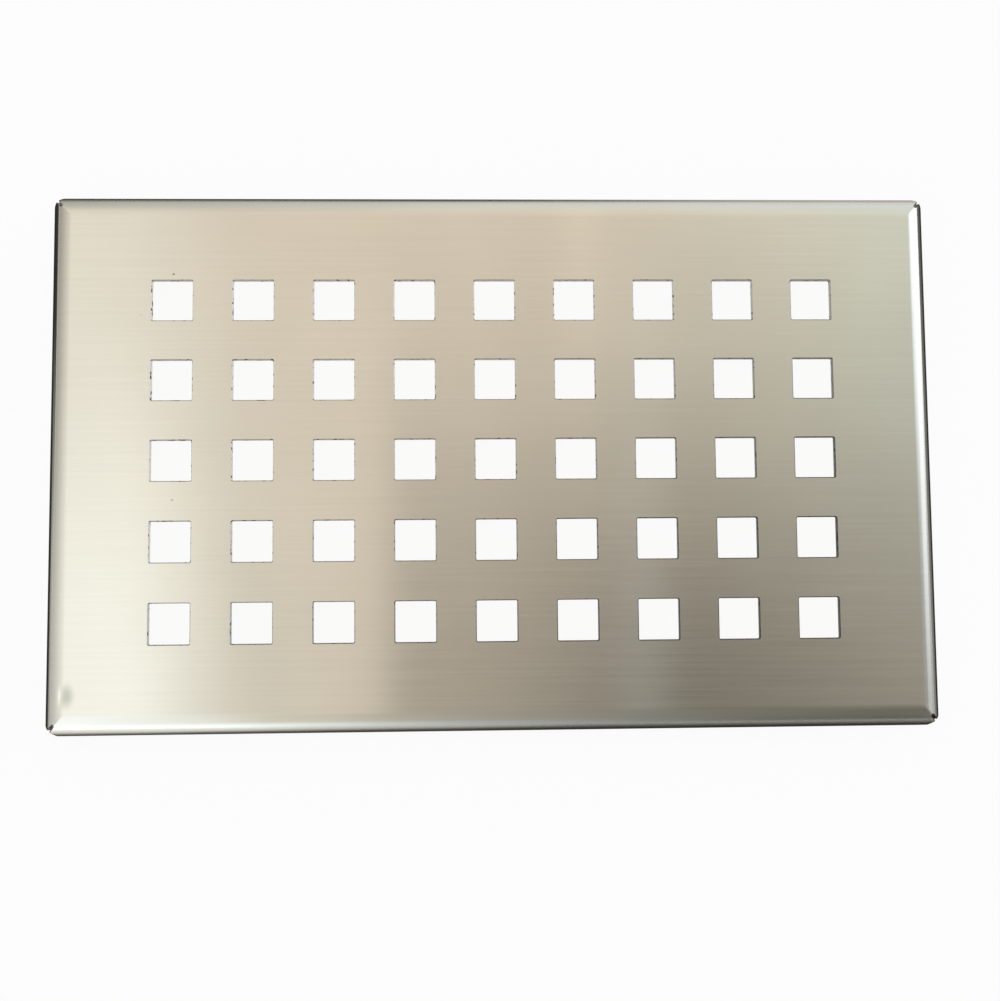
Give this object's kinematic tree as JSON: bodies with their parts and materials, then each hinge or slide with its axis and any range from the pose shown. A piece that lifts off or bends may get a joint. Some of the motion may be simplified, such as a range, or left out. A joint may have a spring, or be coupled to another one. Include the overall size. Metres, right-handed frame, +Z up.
{
  "type": "shower drain grate",
  "caption": "Rectangular stainless drain cover: a sheet with a grid of square holes, its four edges folded down into a low rim that is slit at its corners.",
  "frame": {"origin": "centre of the footprint, on the plane that the rim's feet stand on", "axes": "+X along the plate's length, +Y along its width, +Z up out of the top face"},
  "size_m": [0.2214, 0.1344, 0.01],
  "materials": {
    "stainless": "satin brushed along the plate's length, with dark cut edges in the holes"
  },
  "bodies": {
    "root": {"grate": "stainless"}
  },
  "joints": []
}
